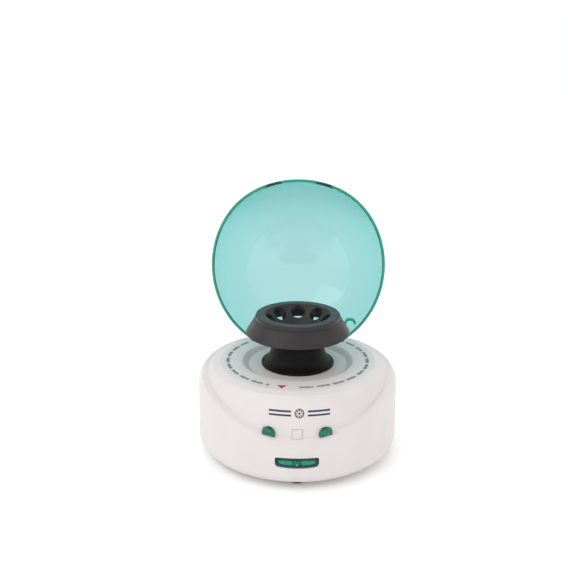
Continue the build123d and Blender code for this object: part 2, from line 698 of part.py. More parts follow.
def rotor():
    """Fixed-angle rotor: a conical bowl with eight tilted wells and a skirt, hollow below."""
    floor = at(BOWL_FLOOR_R, bowl_z(BOWL_FLOOR_R))
    cone_drop = WELL_LENGTH * math.sqrt(2)
    cone_r = ROTOR_UNDER_Z + cone_drop - bowl_z(0)
    roof_z = 103.6
    groove = at(roof_z + cone_drop - bowl_z(0), roof_z)
    skirt_root = at(31.2, roof_z)
    inner_edge = at(37.1, ROTOR_EDGE_Z)
    edge = at(38.3, ROTOR_EDGE_Z)
    widest = at(ROTOR_MAX_R, ROTOR_MAX_Z + 0.3)
    skirt_top = at(32.9, 104.6)
    step = at(32.2, 104.9)
    ring_side = at(32.0, 106.9)
    body = turned(
        Line(at(ADAPTER_R, HUB_BOTTOM_Z), at(HUB_R, HUB_BOTTOM_Z)),
        Line(at(HUB_R, HUB_BOTTOM_Z), at(HUB_R + 3, ROTOR_UNDER_Z)),
        Line(at(HUB_R + 3, ROTOR_UNDER_Z), at(cone_r, ROTOR_UNDER_Z)),
        Line(at(cone_r, ROTOR_UNDER_Z), groove),
        Line(groove, skirt_root),
        Line(skirt_root, inner_edge),
        Line(inner_edge, edge),
        ThreePointArc(edge, at(39.1, 94.0), widest),
        Line(widest, skirt_top),
        Line(skirt_top, step),
        Line(step, ring_side),
        ThreePointArc(ring_side, at(31.7, 107.8), at(ROTOR_RING_R, ROTOR_TOP_Z)),
        Line(at(ROTOR_RING_R, ROTOR_TOP_Z), at(ROTOR_BOWL_R, ROTOR_TOP_Z)),
        Line(at(ROTOR_BOWL_R, ROTOR_TOP_Z), floor),
        Line(floor, at(ADAPTER_R, bowl_z(BOWL_FLOOR_R))),
        Line(at(ADAPTER_R, bowl_z(BOWL_FLOOR_R)), at(ADAPTER_R, HUB_BOTTOM_Z)),
    )
    well = Pos(WELL_CENTRE_R, 0, bowl_z(WELL_CENTRE_R)) * Rot(0, -WELL_TILT, 0)
    well *= Cylinder(WELL_R, 3 * WELL_LENGTH)
    turns = [90 + 360 / WELL_COUNT * k for k in range(WELL_COUNT)]
    return body - (Part() + around(well, turns))


# ---------------------------------------------------------------- latch and interlock
def latch_yoke():
    """Sliding latch plate with its two catches, which show through the casing."""
    plate = block(-YOKE_HALF, YOKE_HALF, YOKE_FRONT_Y, YOKE_BACK_Y, 17.5, 52.0)
    window = PLUNGER_W / 2 + 0.8
    plate -= block(-window, window, -80, -60, PLUNGER_Z - window, PLUNGER_Z + window)
    face = rod_z(0, 0, 0, 90, CATCH_REACH_R)
    for side in (-1, 1):
        catch = catch_shape(side, 0, -80, YOKE_FRONT_Y) & face
        plate += catch
        x = side * SPRING_X
        plate += rod_y(x, YOKE_BACK_Y, YOKE_BACK_Y + 2.0, SPRING_Z, 1.4)
    return plate


def release_button():
    """Push button with the outline of a smile, seated on the latch plate."""
    body = button_window(-0.1, -80, YOKE_FRONT_Y)
    return body & rod_z(0, 0, 0, 90, BODY_R - 0.5)


def latch_frame():
    """Upright bracket that guides the latch and carries the interlock switch."""
    front_y = FRAME_BACK_Y - FRAME_T
    frame = block(-FRAME_HALF, FRAME_HALF, front_y, FRAME_BACK_Y, PLATE_Z1, FRAME_TOP_Z)
    for side in (-1, 1):
        x0, x1 = sorted((side * (YOKE_HALF + MOVING_GAP), side * FRAME_HALF))
        frame += block(x0, x1, -64.4, front_y, 13.5, FRAME_TOP_Z)
    frame += block(-FRAME_HALF, FRAME_HALF, FRAME_BACK_Y, -42.0, PLATE_Z1, PLATE_Z1 + 2.4)
    for x in FRAME_SCREWS_X:
        frame -= rod_z(x, FRAME_SCREW_Y, 0, 20, SCREW_R + 0.1)
    frame -= rod_z(0, -FOOT_RING_R, 0, PLATE_Z1 + 3.0, 3.8)
    hole = PLUNGER_STEM_HALF + MOVING_GAP
    frame -= block(-hole, hole, -70, -40, PLUNGER_Z - hole, PLUNGER_Z + hole)
    return frame


def latch_frame_screws():
    """Two screws that hold the latch frame on the base."""
    screws = []
    for x in FRAME_SCREWS_X:
        shank = rod_z(x, FRAME_SCREW_Y, PLATE_Z1 - 2.0, PLATE_Z1 + 2.4, SCREW_R)
        head = rod_z(x, FRAME_SCREW_Y, PLATE_Z1 + 2.4, PLATE_Z1 + 2.4 + HEAD_H, HEAD_R)
        screws.append(shank + head)
    return Part() + screws


def coil_spring(x, z, y0, y1, coil_r, wire_r, turns):
    """A compression spring along Y."""
    length = y1 - y0 - 2 * wire_r
    path = Helix(pitch=length / turns, height=length, radius=coil_r)
    section = Plane(origin=path @ 0, z_dir=path % 0) * Circle(wire_r)
    wire = sweep(section, path=path)
    return Pos(x, y0 + wire_r, z) * Rot(-90, 0, 0) * wire


def latch_springs():
    """Two springs between the latch frame and the latch plate."""
    y1 = FRAME_BACK_Y - FRAME_T
    return Part() + [
        coil_spring(side * SPRING_X, SPRING_Z, YOKE_BACK_Y, y1, 2.3, 0.35, 5) for side in (-1, 1)
    ]


def interlock_plunger():
    """Square plunger that the closed lid stands against, with a stop collar inside."""
    half = PLUNGER_W / 2
    head = block(-half, half, -80, -71.0, PLUNGER_Z - half, PLUNGER_Z + half)
    head &= rod_z(0, 0, 0, 90, UNDER_LID_R + 0.5)
    thin = PLUNGER_STEM_HALF
    stem = block(-thin, thin, -71.0, -52.3, PLUNGER_Z - thin, PLUNGER_Z + thin)
    collar = block(-3.4, 3.4, -63.4, -62.0, PLUNGER_Z - 3.4, PLUNGER_Z + 3.4)
    return head + stem + collar


def plunger_spring():
    """Spring that pushes the plunger out."""
    return coil_spring(0, PLUNGER_Z, -62.0, FRAME_BACK_Y - FRAME_T, 3.6, 0.3, 4)


def microswitch():
    """Snap switch behind the latch frame."""
    body = block(-6.0, 6.0, -48.4, -43.0, 38.0, 58.0)
    for z in SWITCH_RIVETS_Z:
        body -= rod_x(-10, 10, SWITCH_RIVET_Y, z, 1.2)
    body += block(-2.5, 2.5, -51.6, -48.4, 54.2, 57.6)
    return body


def switch_bracket():
    """Angle that carries the snap switch on the latch frame."""
    side = block(6.0, 7.2, FRAME_BACK_Y, -43.0, 38.0, 58.0)
    side += block(6.0, 16.0, FRAME_BACK_Y, FRAME_BACK_Y + 1.2, 38.0, 53.0)
    for z in SWITCH_RIVETS_Z:
        side -= rod_x(0, 20, SWITCH_RIVET_Y, z, 1.2)
    return side


def switch_rivets():
    """Two rivets through the snap switch and its bracket."""
    rivets = []
    for z in SWITCH_RIVETS_Z:
        rivet = rod_x(-6.0, 7.2, SWITCH_RIVET_Y, z, 1.2)
        rivet += rod_x(-7.0, -6.0, SWITCH_RIVET_Y, z, 2.0)
        rivets.append(rivet + rod_x(7.2, 8.0, SWITCH_RIVET_Y, z, 2.0))
    return Part() + rivets


def switch_lever():
    """Leaf lever of the snap switch, hanging in front of its body."""
    leaf = block(-2.2, 2.2, -51.7, -51.2, 41.5, 53.8)
    leaf += rod_x(-2.2, 2.2, LEVER_PIVOT_Y - 0.4, LEVER_PIVOT_Z, 0.7)
    return leaf


# ---------------------------------------------------------------- lid and hinge
def lid_dome():
    """Clear dome with its rim on the seam, catch pockets at the front."""
    shell = lid_solid(0) - lid_solid(LID_T)
    shell &= seam_cutter(SEAM_GAP / 2, True)
    pocket_r = CATCH_REACH_R + 0.35
    for side in (-1, 1):
        shell -= catch_shape(side, 0.6, -80, -60) & rod_z(0, 0, 0, 90, pocket_r)
    return opened(shell)


def lid_hinge_arms():
    """Two arms under the back of the dome, each with a knuckle for the hinge pin."""
    arms = []
    inside = lid_solid(LID_T)
    for side in (-1, 1):
        x0, x1 = sorted((side * ARM_X0, side * ARM_X1))
        nose = block(x0, x1, ARM_NOSE_Y, HINGE_Y, HINGE_Z - 0.5, HINGE_Z + KNUCKLE_R)
        nose = fillet(nose.edges().filter_by(Axis.Z).sort_by(Axis.Y)[:2], KNUCKLE_R)
        web = block(x0, x1, 53.0, HINGE_Y + KNUCKLE_R, HINGE_Z, 90)
        arm = nose + web + rod_x(x0, x1, HINGE_Y, HINGE_Z, KNUCKLE_R)
        arm = arm & inside
        arm -= rod_x(x0 - 1, x1 + 1, HINGE_Y, HINGE_Z, PIN_R + RUNNING_GAP)
        arms.append(opened(arm))
    return Part() + arms


def lid_loop():
    """Flat arched loop that stands inward from the dome's wall, right of the hinge."""
    outer = block(LOOP_X0, LOOP_X1, LOOP_Y0, HINGE_Y, LOOP_Z, LOOP_Z + LOOP_BAR)
    outer = fillet(outer.edges().filter_by(Axis.Z).sort_by(Axis.Y)[:2], LOOP_ROUND)
    inner = block(
        LOOP_X0 + LOOP_BAR, LOOP_X1 - LOOP_BAR, LOOP_Y0 + LOOP_BAR, HINGE_Y, LOOP_Z - 1, LOOP_Z + LOOP_BAR + 1
    )
    inner = fillet(inner.edges().filter_by(Axis.Z).sort_by(Axis.Y)[:2], LOOP_ROUND - LOOP_BAR)
    return opened((outer - inner) & lid_solid(LID_T))


def hinge_bracket():
    """Bracket in the hinge bay with two ears for the pin."""
    foot_y1 = HINGE_Y + 3.0
    base = block(-EAR_X1, EAR_X1, BAY_FRONT_Y, foot_y1, BAY_FLOOR_Z, BAY_FLOOR_Z + BRACKET_T)
    for side in (-1, 1):
        x0, x1 = sorted((side * EAR_X0, side * EAR_X1))
        ear = block(x0, x1, HINGE_Y - KNUCKLE_R, foot_y1, BAY_FLOOR_Z, HINGE_Z)
        ear += rod_x(x0, x1, HINGE_Y, HINGE_Z, KNUCKLE_R)
        base += ear
    base -= rod_x(-50, 50, HINGE_Y, HINGE_Z, PIN_R)
    for x in BRACKET_SCREWS_X:
        base -= rod_z(x, BRACKET_SCREW_Y, BAY_FLOOR_Z - 1, BAY_FLOOR_Z + 5, SCREW_R)
    return base


def hinge_bracket_screws():
    """Two screws that hold the bracket down on the bay's floor."""
    screws = []
    for x in BRACKET_SCREWS_X:
        head_z = BAY_FLOOR_Z + BRACKET_T
        shank = rod_z(x, BRACKET_SCREW_Y, BAY_FLOOR_Z - BAY_WALL, head_z, SCREW_R)
        head = rod_z(x, BRACKET_SCREW_Y, head_z, head_z + HEAD_H, HEAD_R)
        screws.append(shank + head)
    return Part() + screws


def hinge_pin():
    """Steel pin through the ears and the lid's arms."""
    return rod_x(-ARM_X1 - 0.4, ARM_X1 + 0.4, HINGE_Y, HINGE_Z, PIN_R)


# ---------------------------------------------------------------- build every node
save("housing_shell", housing_shell())
save("bottom_plate", bottom_plate())
save("housing_screws", housing_screws())
save("rubber_feet", rubber_feet())
save("circuit_board", circuit_board())
save("board_screws", board_screws())
save("board_components", board_components())
save("dc_jack", dc_jack())
save("jack_contact", jack_contact())
save("power_switch_body", power_switch_body())
save("power_rocker", power_rocker())
save("motor_pedestal", motor_pedestal())
save("motor_can", motor_can())
save("motor_magnets", motor_magnets())
save("upper_bearing", bearing(MOTOR_Z1 - 2.0, MOTOR_Z1 + 3.0))
save("lower_bearing", bearing(MOTOR_Z0, MOTOR_Z0 + 2.0))
save("motor_mount", motor_mount())
save("motor_dampers", motor_dampers())
save("motor_screws", motor_screws())
save("motor_shaft", motor_shaft())
save("motor_armature", motor_armature())
save("rotor_adapter", rotor_adapter())
save("rotor_nut", rotor_nut())
save("rotor", rotor())
save("latch_yoke", latch_yoke())
save("release_button", release_button())
save("latch_frame", latch_frame())
save("latch_frame_screws", latch_frame_screws())
save("latch_springs", latch_springs())
save("interlock_plunger", interlock_plunger())
save("plunger_spring", plunger_spring())
save("microswitch", microswitch())
save("switch_bracket", switch_bracket())
save("switch_rivets", switch_rivets())
save("switch_lever", switch_lever())
save("lid_dome", lid_dome())
save("lid_hinge_arms", lid_hinge_arms())
save("lid_loop", lid_loop())
save("hinge_bracket", hinge_bracket())
save("hinge_bracket_screws", hinge_bracket_screws())
save("hinge_pin", hinge_pin())

os.makedirs("parts", exist_ok=True)
for name, shape in parts.items():
    export_step(shape, f"parts/{name}.step")
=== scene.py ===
import math

import bpy
import numpy as np
from mathutils import Matrix, Vector


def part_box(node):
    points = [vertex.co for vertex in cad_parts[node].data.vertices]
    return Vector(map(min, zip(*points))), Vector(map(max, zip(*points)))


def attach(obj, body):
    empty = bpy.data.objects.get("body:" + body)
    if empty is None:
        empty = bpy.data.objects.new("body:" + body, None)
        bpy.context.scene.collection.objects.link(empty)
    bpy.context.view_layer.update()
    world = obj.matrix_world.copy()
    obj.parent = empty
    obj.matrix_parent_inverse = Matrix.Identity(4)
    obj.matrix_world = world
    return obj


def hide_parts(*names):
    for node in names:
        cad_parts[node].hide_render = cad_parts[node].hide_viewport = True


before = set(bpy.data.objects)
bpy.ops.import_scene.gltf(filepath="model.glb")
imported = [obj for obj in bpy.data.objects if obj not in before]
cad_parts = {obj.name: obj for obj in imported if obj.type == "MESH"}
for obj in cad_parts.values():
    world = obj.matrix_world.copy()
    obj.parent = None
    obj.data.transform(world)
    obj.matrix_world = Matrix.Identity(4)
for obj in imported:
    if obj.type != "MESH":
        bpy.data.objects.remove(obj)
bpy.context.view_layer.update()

# ---------------------------------------------------------------- camera and room
# The centrifuge stands on a white sweep under a large soft lamp from the upper left,
# seen from a little above by a camera on its centre line.
AIM = Vector((0.0, 0.0, 0.060))
CAMERA_DISTANCE = 0.550
CAMERA_ELEVATION = math.radians(23.2)
CAMERA_ROLL = math.radians(0.43)
LENS_MM = 44.70
SHIFT_RIGHT = -0.0239
SHIFT_UP = 0.1555

camera_data = bpy.data.cameras.new("camera")
camera_data.lens = LENS_MM
camera_data.sensor_width = 36.0
camera_data.shift_x = SHIFT_RIGHT
camera_data.shift_y = SHIFT_UP
camera_data.clip_start = 0.01
camera = bpy.data.objects.new("camera", camera_data)
bpy.context.scene.collection.objects.link(camera)
back_off = Vector((0.0, -math.cos(CAMERA_ELEVATION), math.sin(CAMERA_ELEVATION)))
camera.matrix_world = (
    Matrix.Translation(AIM + CAMERA_DISTANCE * back_off)
    @ Matrix.Rotation(math.pi / 2 - CAMERA_ELEVATION, 4, "X")
    @ Matrix.Rotation(CAMERA_ROLL, 4, "Z")
)
bpy.context.scene.camera = camera
bpy.context.scene.view_settings.view_transform = "Standard"


def material(name, colour, roughness, metallic=0.0):
    """A Principled material. Returns it, its Principled node and its node tree."""
    made = bpy.data.materials.new(name)
    made.use_nodes = True
    shader = made.node_tree.nodes["Principled BSDF"]
    shader.inputs["Base Color"].default_value = (*colour, 1.0)
    shader.inputs["Roughness"].default_value = roughness
    shader.inputs["Metallic"].default_value = metallic
    return made, shader, made.node_tree


def link_mesh(name, points, faces, finish, smooth=True):
    """A new object from an array of points and a list or array of faces."""
    mesh = bpy.data.meshes.new(name)
    face_corners = [list(map(int, face)) for face in faces]
    mesh.from_pydata(np.asarray(points, float).reshape(-1, 3).tolist(), [], face_corners)
    mesh.materials.append(finish)
    mesh.polygons.foreach_set("use_smooth", [smooth] * len(mesh.polygons))
    mesh.update()
    made = bpy.data.objects.new(name, mesh)
    bpy.context.scene.collection.objects.link(made)
    return made


FLOOR_HALF = 4.0
FLOOR_GLOW = 0.06
floor_finish, floor_shader, _ = material("floor_white", (0.97, 0.97, 0.97), 0.95)
floor_shader.inputs["Specular IOR Level"].default_value = 0.0
floor_shader.inputs["Emission Color"].default_value = (1.0, 1.0, 1.0, 1.0)
floor_shader.inputs["Emission Strength"].default_value = FLOOR_GLOW
floor = link_mesh(
    "floor",
    [
        (-FLOOR_HALF, -FLOOR_HALF, 0),
        (FLOOR_HALF, -FLOOR_HALF, 0),
        (FLOOR_HALF, FLOOR_HALF, 0),
        (-FLOOR_HALF, FLOOR_HALF, 0),
    ],
    [(0, 1, 2, 3)],
    floor_finish,
    smooth=False,
)


def soft_lamp(name, place, aim, size, watts, mirrored=True):
    """A square area lamp that faces a point. mirrored says whether glossy faces show it."""
    data = bpy.data.lights.new(name, "AREA")
    data.shape = "SQUARE"
    data.size = size
    data.energy = watts
    lamp = bpy.data.objects.new(name, data)
    lamp.location = place
    lamp.rotation_euler = (Vector(aim) - Vector(place)).to_track_quat("-Z", "Y").to_euler()
    lamp.visible_glossy = mirrored
    bpy.context.scene.collection.objects.link(lamp)


soft_lamp("key_lamp", (-0.90, -0.55, 1.10), (0, 0, 0.06), 1.1, 4.4)
soft_lamp("fill_lamp", (0.55, -1.10, 0.90), (0, 0, 0.06), 1.4, 1.6, mirrored=False)
soft_lamp("back_lamp", (0.0, 0.90, 0.80), (0, 0, 0.08), 0.6, 1.8, mirrored=False)

world = bpy.data.worlds.new("room")
world.use_nodes = True
room_light = world.node_tree.nodes["Background"]
room_light.inputs["Color"].default_value = (1.0, 1.0, 1.0, 1.0)
room_light.inputs["Strength"].default_value = 1.02
bpy.context.scene.world = world


def grain(tree, shader, scale, strength, distance, detail=3.0):
    """Fine moulded grain: noise on Object coordinates into a Bump on the shader's normal."""
    where = tree.nodes.new("ShaderNodeTexCoord")
    noise = tree.nodes.new("ShaderNodeTexNoise")
    noise.inputs["Scale"].default_value = scale
    noise.inputs["Detail"].default_value = detail
    bump = tree.nodes.new("ShaderNodeBump")
    bump.inputs["Strength"].default_value = strength
    bump.inputs["Distance"].default_value = distance
    tree.links.new(where.outputs["Object"], noise.inputs["Vector"])
    tree.links.new(noise.outputs["Fac"], bump.inputs["Height"])
    tree.links.new(bump.outputs["Normal"], shader.inputs["Normal"])


def mottle(tree, shader, socket, scale, low, high):
    """A slow drift of one input between two values, or two colours, by noise."""
    where = tree.nodes.new("ShaderNodeTexCoord")
    noise = tree.nodes.new("ShaderNodeTexNoise")
    noise.inputs["Scale"].default_value = scale
    noise.inputs["Detail"].default_value = 4.0
    tree.links.new(where.outputs["Object"], noise.inputs["Vector"])
    if isinstance(low, tuple):
        ramp = tree.nodes.new("ShaderNodeValToRGB")
        ramp.color_ramp.elements[0].position = 0.35
        ramp.color_ramp.elements[0].color = (*low, 1.0)
        ramp.color_ramp.elements[1].position = 0.65
        ramp.color_ramp.elements[1].color = (*high, 1.0)
        tree.links.new(noise.outputs["Fac"], ramp.inputs["Fac"])
        tree.links.new(ramp.outputs["Color"], shader.inputs[socket])
        return
    spread = tree.nodes.new("ShaderNodeMapRange")
    spread.inputs["From Min"].default_value = 0.35
    spread.inputs["From Max"].default_value = 0.65
    spread.inputs["To Min"].default_value = low
    spread.inputs["To Max"].default_value = high
    tree.links.new(noise.outputs["Fac"], spread.inputs["Value"])
    tree.links.new(spread.outputs["Result"], shader.inputs[socket])


def moulded(name, low, high, rough_low, rough_high, grain_scale=2600.0, grain_depth=0.00002, gloss=0.5):
    """Moulded plastic: slight colour drift, uneven gloss and a fine grain."""
    made, shader, tree = material(name, high, rough_high)
    shader.inputs["Specular IOR Level"].default_value = gloss
    mottle(tree, shader, "Base Color", 55.0, low, high)
    mottle(tree, shader, "Roughness", 140.0, rough_low, rough_high)
    grain(tree, shader, grain_scale, 0.35, grain_depth)
    return made


def wear(*nodes, finish):
    """Gives CAD nodes a finish in all their slots."""
    for node in nodes:
        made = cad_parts[node]
        for material_slot in made.material_slots:
            material_slot.material = finish


# ---------------------------------------------------------------- casing
# The casing is one moulding of warm white ABS with a satin skin. The base inside its lower
# edge is the same plastic with a coarser texture, and stands on rubber feet.
shell_abs = moulded("shell_abs", (0.640, 0.598, 0.595), (0.662, 0.618, 0.615), 0.36, 0.44)
base_abs = moulded("base_abs", (0.58, 0.545, 0.54), (0.61, 0.57, 0.565), 0.5, 0.62, 1500.0, 0.00006)
foot_rubber = moulded("foot_rubber", (0.012, 0.012, 0.012), (0.022, 0.021, 0.02), 0.7, 0.85, 1200.0, 0.00008)
wear("housing_shell", "interlock_plunger", finish=shell_abs)
wear("bottom_plate", finish=base_abs)
wear("rubber_feet", finish=foot_rubber)

# ---------------------------------------------------------------- pedestal and rotor
# The pedestal is black ABS, turned smooth. The rotor is dark grey glass-filled plastic with
# a satin skin, clamped on an aluminium adapter by a knurled nut.
pedestal_black = moulded(
    "pedestal_black", (0.005, 0.005, 0.005), (0.008, 0.0075, 0.0075), 0.40, 0.50, gloss=0.12
)
rotor_plastic = moulded(
    "rotor_plastic", (0.024, 0.0215, 0.022), (0.031, 0.0275, 0.028), 0.36, 0.46, 3200.0, gloss=0.26
)
wear("motor_pedestal", finish=pedestal_black)
wear("rotor", finish=rotor_plastic)


def turned_metal(name, colour, roughness):
    """Turned metal: fine rings about the rotor axis, by a wave on the distance from it."""
    made, shader, tree = material(name, colour, roughness, 1.0)
    where = tree.nodes.new("ShaderNodeTexCoord")
    rings = tree.nodes.new("ShaderNodeTexWave")
    rings.wave_type = "RINGS"
    rings.rings_direction = "Z"
    rings.inputs["Scale"].default_value = 900.0
    rings.inputs["Distortion"].default_value = 1.5
    bump = tree.nodes.new("ShaderNodeBump")
    bump.inputs["Strength"].default_value = 0.15
    bump.inputs["Distance"].default_value = 0.00002
    tree.links.new(where.outputs["Object"], rings.inputs["Vector"])
    tree.links.new(rings.outputs["Fac"], bump.inputs["Height"])
    tree.links.new(bump.outputs["Normal"], shader.inputs["Normal"])
    mottle(tree, shader, "Roughness", 300.0, roughness * 0.8, roughness * 1.3)
    return made


aluminium = turned_metal("aluminium", (0.70, 0.70, 0.71), 0.28)
steel = turned_metal("steel", (0.46, 0.46, 0.47), 0.30)
bronze = turned_metal("bronze", (0.55, 0.36, 0.15), 0.35)
wear("rotor_adapter", "rotor_nut", finish=aluminium)
wear(
    "motor_shaft", "motor_can", "motor_mount", "motor_screws", "housing_screws", "board_screws",
    "latch_frame_screws", "latch_springs", "plunger_spring", "switch_bracket", "switch_lever",
    "hinge_pin", "hinge_bracket_screws",
    finish=steel,
)
wear("upper_bearing", "lower_bearing", "jack_contact", "switch_rivets", finish=bronze)

# ---------------------------------------------------------------- pieces inside
# The motor's magnets and armature, the board and the switch are seen only when the casing
# is off, in the plain finishes that such parts have.
ferrite = moulded("ferrite", (0.045, 0.045, 0.048), (0.065, 0.065, 0.07), 0.6, 0.75)
winding = moulded("winding", (0.38, 0.14, 0.05), (0.50, 0.20, 0.08), 0.3, 0.4)
solder_mask = moulded("solder_mask", (0.012, 0.13, 0.055), (0.02, 0.17, 0.075), 0.25, 0.35)
black_abs = moulded("black_abs", (0.014, 0.014, 0.015), (0.024, 0.024, 0.025), 0.4, 0.5, 1800.0, 0.00004)
wear("motor_magnets", finish=ferrite)
wear("motor_armature", finish=winding)
wear("circuit_board", finish=solder_mask)
wear("motor_dampers", finish=foot_rubber)
wear(
    "board_components", "dc_jack", "power_switch_body", "power_rocker", "latch_frame", "microswitch",
    "hinge_bracket",
    finish=black_abs,
)

# ---------------------------------------------------------------- printing on the deck
# A ring of short dark dashes is printed round the deck in groups, like a dial, with an
# orange-red pointer at its front. It is ink, a few hundredths of a millimetre proud.
RING_R = 0.0536
DASH_LENGTH = 0.0029
DASH_WIDTH = 0.00078
DASH_STEP = 0.00125
GROUP_DASHES = 8
GROUP_GAP_DASHES = 2
RING_START = math.radians(-88.0)
RING_END = math.radians(249.0)
INK_HEIGHT = 0.00004
deck_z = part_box("motor_pedestal")[0][2] + 0.0030

ink, ink_shader, ink_tree = material("deck_ink", (0.012, 0.034, 0.034), 0.55)
mottle(ink_tree, ink_shader, "Base Color", 900.0, (0.008, 0.024, 0.024), (0.020, 0.050, 0.050))
pointer_ink, pointer_shader, pointer_tree = material("pointer_ink", (0.42, 0.06, 0.025), 0.5)
mottle(pointer_tree, pointer_shader, "Base Color", 900.0, (0.36, 0.05, 0.02), (0.48, 0.08, 0.035))


def prisms(corners, low_z, high_z):
    """Upright prisms over polygons. corners is (count, sides, 2), anticlockwise from above."""
    count, sides, _ = corners.shape
    low = np.concatenate([corners, np.full((count, sides, 1), low_z)], axis=2)
    high = np.concatenate([corners, np.full((count, sides, 1), high_z)], axis=2)
    points = np.concatenate([low, high], axis=1).reshape(-1, 3)
    first = (np.arange(count) * 2 * sides)[:, None]
    ring = np.arange(sides)
    after = (ring + 1) % sides
    walls = np.stack([ring, after, after + sides, ring + sides], axis=1)
    walls = (first[:, :, None] + walls[None]).reshape(-1, 4)
    top = first + ring[None] + sides
    bottom = first + ring[None, ::-1]
    return points, [*walls.tolist(), *top.tolist(), *bottom.tolist()]


dash_count = int((RING_END - RING_START) * RING_R / DASH_STEP)
dash_index = np.arange(dash_count)
dash_index = dash_index[dash_index % (GROUP_DASHES + GROUP_GAP_DASHES) < GROUP_DASHES]
dash_angle = RING_START + dash_index * DASH_STEP / RING_R
dash_reach = DASH_LENGTH * (0.72 + 0.28 * np.cos(dash_index * 2.4) ** 2)
along = np.stack([np.cos(dash_angle), np.sin(dash_angle)], axis=1)[:, None, :]
across = np.stack([-np.sin(dash_angle), np.cos(dash_angle)], axis=1)[:, None, :]
side_sign = np.array([-1.0, -1.0, 1.0, 1.0])[None, :, None] * DASH_WIDTH / 2
end_sign = np.array([-1.0, 1.0, 1.0, -1.0])[None, :, None] * dash_reach[:, None, None] / 2
dash_corners = along * (RING_R + end_sign) + across * side_sign
dash_points, dash_faces = prisms(dash_corners, deck_z - INK_HEIGHT, deck_z + INK_HEIGHT)
printed_ring = link_mesh("printed_ring", dash_points, dash_faces, ink, smooth=False)
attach(printed_ring, "base")

POINTER_X = -0.0110
POINTER_HALF = 0.0037
pointer_y = -math.sqrt(RING_R**2 - POINTER_X**2)
pointer_tip = (POINTER_X, pointer_y - 0.0036)
pointer_left = (POINTER_X - POINTER_HALF, pointer_y + 0.0024)
pointer_right = (POINTER_X + POINTER_HALF, pointer_y + 0.0024)
pointer_corners = np.array([[pointer_left, pointer_tip, pointer_right]])
pointer_points, pointer_faces = prisms(pointer_corners, deck_z - INK_HEIGHT, deck_z + INK_HEIGHT)
pointer = link_mesh("printed_pointer", pointer_points, pointer_faces, pointer_ink, smooth=False)
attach(pointer, "base")

# ---------------------------------------------------------------- emblem on the front
# A plain pictogram of a rotor is printed on the front: a hub, a ring and eight round wells,
# between two pairs of bars. It follows the curve of the casing's shoulder.
EMBLEM_X = 0.0015
EMBLEM_Z = 0.0600
EMBLEM_RING_R = 0.0033
EMBLEM_LINE = 0.0006
EMBLEM_DOTS = 8
BAR_START = 0.0058
BAR_END = 0.0212
BAR_PARTS = 12
SHOULDER_ARC = np.array([(0.0726, 0.0570), (0.0704, 0.0644), (0.0654, 0.0701)])
emblem_ink, emblem_shader, emblem_tree = material("emblem_ink", (0.020, 0.028, 0.060), 0.5)
mottle(emblem_tree, emblem_shader, "Base Color", 900.0, (0.014, 0.020, 0.045), (0.03, 0.04, 0.08))

# The shoulder is the circle through three points (radius, height): its centre solves two
# equations that say it is equally far from each of them.
arc_steps = np.diff(SHOULDER_ARC, axis=0)
arc_centre = np.linalg.solve(2 * arc_steps, np.diff((SHOULDER_ARC**2).sum(axis=1)))
arc_radius = np.linalg.norm(SHOULDER_ARC[0] - arc_centre)


def shoulder_y(x, z):
    """Front face of the shoulder: at each height, a circle about the rotor axis."""
    radius = arc_centre[0] + np.sqrt(arc_radius**2 - (z - arc_centre[1]) ** 2)
    return -np.sqrt(radius**2 - x**2)


def disc(x, z, radius, sides=16):
    """Corners of a round spot, anticlockwise from the front."""
    turn = np.arange(sides) * 2 * math.pi / sides
    return np.stack([x + radius * np.cos(turn), z + radius * np.sin(turn)], axis=1)


def ring_parts(x, z, radius, line, parts=24):
    """A printed ring, as flat pieces between two circles."""
    start = np.arange(parts) * 2 * math.pi / parts
    end = start + 2 * math.pi / parts
    reach = [(radius - line, start), (radius, start), (radius, end), (radius - line, end)]
    return np.stack([np.stack([x + r * np.cos(a), z + r * np.sin(a)], axis=1) for r, a in reach], axis=1)


def bar_parts(x0, x1, z, line):
    """A printed bar, cut across into flat pieces so that it bends with the casing."""
    cuts = np.linspace(x0, x1, BAR_PARTS + 1)
    low = np.full(BAR_PARTS, z - line / 2)
    high = low + line
    corners = [(cuts[:-1], low), (cuts[1:], low), (cuts[1:], high), (cuts[:-1], high)]
    return np.stack([np.stack(corner, axis=1) for corner in corners], axis=1)


dot_turn = np.arange(EMBLEM_DOTS) * 2 * math.pi / EMBLEM_DOTS
dots = [
    disc(EMBLEM_X + 0.0021 * math.cos(turn), EMBLEM_Z + 0.0021 * math.sin(turn), 0.00052)
    for turn in dot_turn
]
emblem_groups = [
    np.array([disc(EMBLEM_X, EMBLEM_Z, 0.0008), *dots]),
    ring_parts(EMBLEM_X, EMBLEM_Z, EMBLEM_RING_R, EMBLEM_LINE),
]
for side in (-1, 1):
    x0, x1 = sorted((EMBLEM_X + side * BAR_START, EMBLEM_X + side * BAR_END))
    for rise, line in ((0.0014, 0.0013), (-0.0014, 0.0013)):
        emblem_groups.append(bar_parts(x0, x1, EMBLEM_Z + rise, line))
emblem_points = []
emblem_faces = []
for group in emblem_groups:
    flat, faces = prisms(group, -INK_HEIGHT, INK_HEIGHT)
    bent = np.stack([flat[:, 0], shoulder_y(flat[:, 0], flat[:, 1]) - flat[:, 2], flat[:, 1]], axis=1)
    shift = sum(len(part) for part in emblem_points)
    emblem_points.append(bent)
    emblem_faces += [[corner + shift for corner in face] for face in faces]
emblem = link_mesh("printed_emblem", np.concatenate(emblem_points), emblem_faces, emblem_ink, smooth=False)
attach(emblem, "base")

